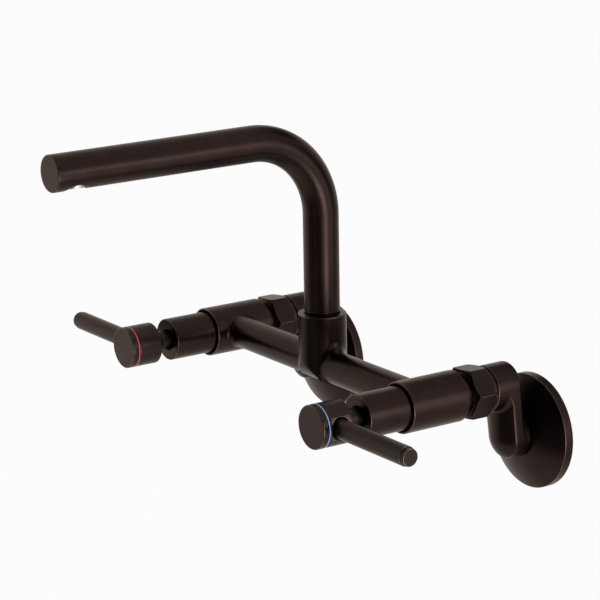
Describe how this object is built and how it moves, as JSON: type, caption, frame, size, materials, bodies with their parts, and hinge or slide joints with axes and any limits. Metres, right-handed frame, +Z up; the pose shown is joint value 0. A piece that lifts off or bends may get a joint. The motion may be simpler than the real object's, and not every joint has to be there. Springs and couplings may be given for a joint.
{
  "type": "wall-mounted kitchen faucet",
  "caption": "Bridge faucet for a kitchen wall: lever valves on a cross tube, a tall L-shaped swivel spout, eccentric swing arms and round wall flanges.",
  "frame": {"origin": "on the finished wall plane, midway between the axes of the hot and cold inlets", "axes": "+Z up, +Y into the wall, +X towards the cold side, which is the right side seen from the room"},
  "size_m": [0.3556, 0.2613, 0.2164],
  "materials": {
    "body_bronze": "satin oil-rubbed bronze",
    "spout_bronze": "satin oil-rubbed bronze",
    "handle_bronze": "satin oil-rubbed bronze",
    "bonnet_bronze": "satin oil-rubbed bronze",
    "nut_bronze": "satin oil-rubbed bronze",
    "arm_bronze": "satin oil-rubbed bronze",
    "flange_bronze": "satin oil-rubbed bronze",
    "hot_ring": "satin enamel",
    "cold_ring": "satin enamel",
    "brass": "turned",
    "steel": "plain",
    "ceramic": "lapped",
    "rubber": "matte",
    "plastic": "moulded",
    "insert_plastic": "moulded"
  },
  "bodies": {
    "bridge": {"bridge_body": "body_bronze", "spout_glide_ring": "plastic", "spout_set_screw": "steel", "hot_cartridge_body": "brass", "hot_fixed_disc": "ceramic", "hot_seat_seal": "rubber", "hot_bonnet": "bonnet_bronze", "hot_union_nut": "nut_bronze", "hot_union_washer": "rubber", "cold_cartridge_body": "brass", "cold_fixed_disc": "ceramic", "cold_seat_seal": "rubber", "cold_bonnet": "bonnet_bronze", "cold_union_nut": "nut_bronze", "cold_union_washer": "rubber"},
    "spout": {"spout_tube": "spout_bronze", "spout_shank": "brass", "spout_end_cap": "spout_bronze", "outlet_bush": "brass", "aerator_shell": "steel", "aerator_insert": "insert_plastic", "aerator_washer": "rubber", "spout_o_rings": "rubber"},
    "hot_handle": {"hot_handle_hub": "handle_bronze", "hot_index_ring": "hot_ring", "hot_handle_cap": "handle_bronze", "hot_handle_screw": "steel", "hot_lever": "handle_bronze", "hot_lever_tip": "handle_bronze", "hot_cartridge_stem": "brass", "hot_stem_o_ring": "rubber", "hot_moving_disc": "ceramic"},
    "hot_arm": {"hot_swing_arm": "arm_bronze", "hot_union_tail": "brass", "hot_flange_o_ring": "rubber"},
    "hot_flange": {"hot_wall_flange": "flange_bronze"},
    "cold_handle": {"cold_handle_hub": "handle_bronze", "cold_index_ring": "cold_ring", "cold_handle_cap": "handle_bronze", "cold_handle_screw": "steel", "cold_lever": "handle_bronze", "cold_lever_tip": "handle_bronze", "cold_cartridge_stem": "brass", "cold_stem_o_ring": "rubber", "cold_moving_disc": "ceramic"},
    "cold_arm": {"cold_swing_arm": "arm_bronze", "cold_union_tail": "brass", "cold_flange_o_ring": "rubber"},
    "cold_flange": {"cold_wall_flange": "flange_bronze"}
  },
  "joints": [
    {"name": "spout_swivel", "type": "hinge", "parent": "bridge", "child": "spout", "pos_m": [0, -0.08, 0.03096], "axis": [0, 0, 1], "range_deg": [-110, 110]},
    {"name": "hot_handle_turn", "type": "hinge", "parent": "bridge", "child": "hot_handle", "pos_m": [-0.102, -0.1473, 0.03096], "axis": [0, -1, 0], "range_deg": [0, 90]},
    {"name": "hot_arm_swing", "type": "hinge", "parent": "bridge", "child": "hot_arm", "pos_m": [-0.102, -0.04, 0.03096], "axis": [0, 1, 0], "range_deg": [-93, 87]},
    {"name": "hot_flange_slide", "type": "slide", "parent": "hot_arm", "child": "hot_flange", "axis": [0, -1, 0], "range_m": [0, 0.003]},
    {"name": "cold_handle_turn", "type": "hinge", "parent": "bridge", "child": "cold_handle", "pos_m": [0.102, -0.1473, 0.03096], "axis": [0, 1, 0], "range_deg": [0, 90]},
    {"name": "cold_arm_swing", "type": "hinge", "parent": "bridge", "child": "cold_arm", "pos_m": [0.102, -0.04, 0.03096], "axis": [0, 1, 0], "range_deg": [-87, 93]},
    {"name": "cold_flange_slide", "type": "slide", "parent": "cold_arm", "child": "cold_flange", "axis": [0, -1, 0], "range_m": [0, 0.003]}
  ]
}
